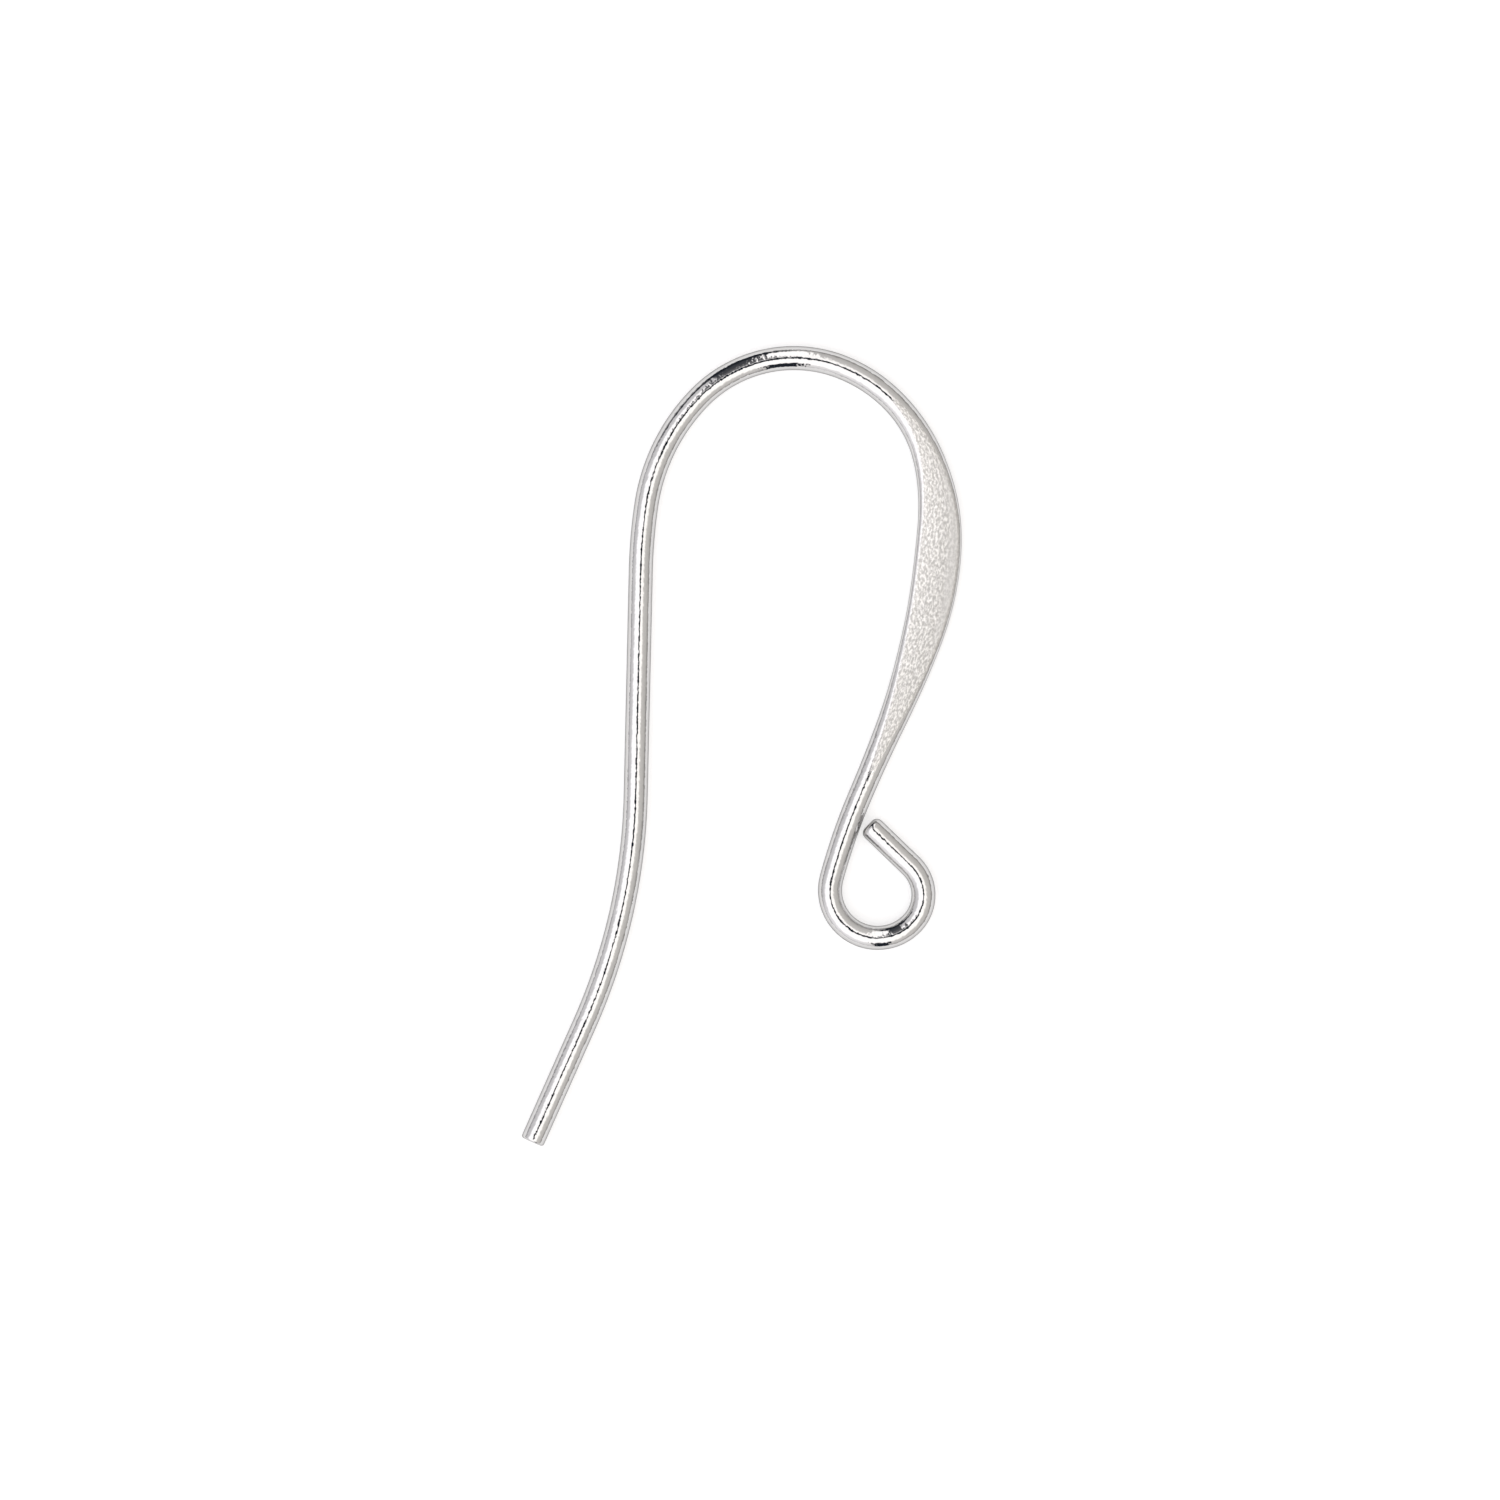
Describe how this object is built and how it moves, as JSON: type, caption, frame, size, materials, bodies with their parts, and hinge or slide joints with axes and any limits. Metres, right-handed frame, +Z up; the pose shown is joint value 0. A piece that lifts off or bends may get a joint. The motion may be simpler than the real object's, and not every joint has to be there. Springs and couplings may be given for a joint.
{
  "type": "ear wire",
  "caption": "Fish-hook ear wire in polished silver with a long plain leg, a high arch, a flat satin front and an open loop for a drop.",
  "frame": {"origin": "middle of the outline's bounding box, on the surface that the wire lies on", "axes": "+Z up off the surface, square to the plane that the wire is bent in; +Y from the leg's tip towards the arch; +X from the leg towards the front"},
  "size_m": [0.0132, 0.024, 0.0007],
  "materials": {
    "silver": "bright polished silver wire, satin grain on the two faces of the flat front"
  },
  "bodies": {
    "root": {"ear_wire": "silver"}
  },
  "joints": []
}
